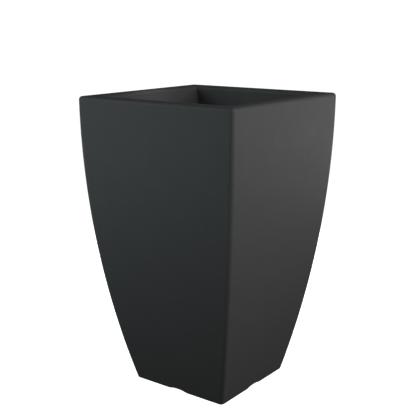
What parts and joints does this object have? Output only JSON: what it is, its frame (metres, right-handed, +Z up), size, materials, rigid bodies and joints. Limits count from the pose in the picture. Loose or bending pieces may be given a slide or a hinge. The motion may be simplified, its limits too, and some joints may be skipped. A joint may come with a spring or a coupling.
{
  "type": "floor planter",
  "caption": "Tall square floor planter with arched walls that narrow to the base, holding a lift-out planting liner with bail handles, a water reserve, a filling tube and a level gauge.",
  "frame": {"origin": "centre of the base, on the floor", "axes": "+Z up out of the mouth, +X and +Y square to two neighbouring walls"},
  "size_m": [0.4, 0.4, 0.644],
  "materials": {
    "shell_plastic": "moulded, matte with a fine grain",
    "liner_plastic": "injection moulded, satin",
    "handle_plastic": "injection moulded, satin",
    "insert_plastic": "injection moulded, satin",
    "cap_plastic": "moulded, satin",
    "clear_plastic": "clear, polished",
    "float_plastic": "moulded, satin",
    "bung_rubber": "matte rubber"
  },
  "bodies": {
    "planter": {"planter_shell": "shell_plastic"},
    "bung": {"drain_bung": "bung_rubber"},
    "liner": {"liner_pot": "liner_plastic", "handle_bracket_right": "liner_plastic", "handle_bracket_left": "liner_plastic", "water_separator": "insert_plastic", "separator_leg_1": "insert_plastic", "separator_leg_2": "insert_plastic", "separator_leg_3": "insert_plastic", "separator_leg_4": "insert_plastic", "wick_basket_1": "insert_plastic", "wick_basket_2": "insert_plastic", "wick_basket_3": "insert_plastic", "wick_basket_4": "insert_plastic", "fill_tube": "insert_plastic", "gauge_tube": "clear_plastic", "gauge_dome": "clear_plastic"},
    "right_handle": {"handle_right": "handle_plastic"},
    "left_handle": {"handle_left": "handle_plastic"},
    "cap": {"fill_cap": "cap_plastic"},
    "float": {"gauge_float": "float_plastic", "gauge_rod": "float_plastic", "gauge_pointer": "float_plastic"}
  },
  "joints": [
    {"name": "bung_pull", "type": "slide", "parent": "planter", "child": "bung", "axis": [0, 0, 1], "range_m": [0, 0.04]},
    {"name": "liner_lift", "type": "slide", "parent": "planter", "child": "liner", "axis": [0, 0, 1], "range_m": [0, 0.42]},
    {"name": "right_handle_swing", "type": "hinge", "parent": "liner", "child": "right_handle", "pos_m": [0.12967, 0, 0.526], "axis": [0, 1, 0], "range_deg": [0, 180]},
    {"name": "left_handle_swing", "type": "hinge", "parent": "liner", "child": "left_handle", "pos_m": [-0.12967, 0, 0.526], "axis": [0, -1, 0], "range_deg": [0, 180]},
    {"name": "cap_pull", "type": "slide", "parent": "liner", "child": "cap", "axis": [0, 0, 1], "range_m": [0, 0.03]},
    {"name": "float_rise", "type": "slide", "parent": "liner", "child": "float", "axis": [0, 0, 1], "range_m": [0, 0.032]}
  ]
}
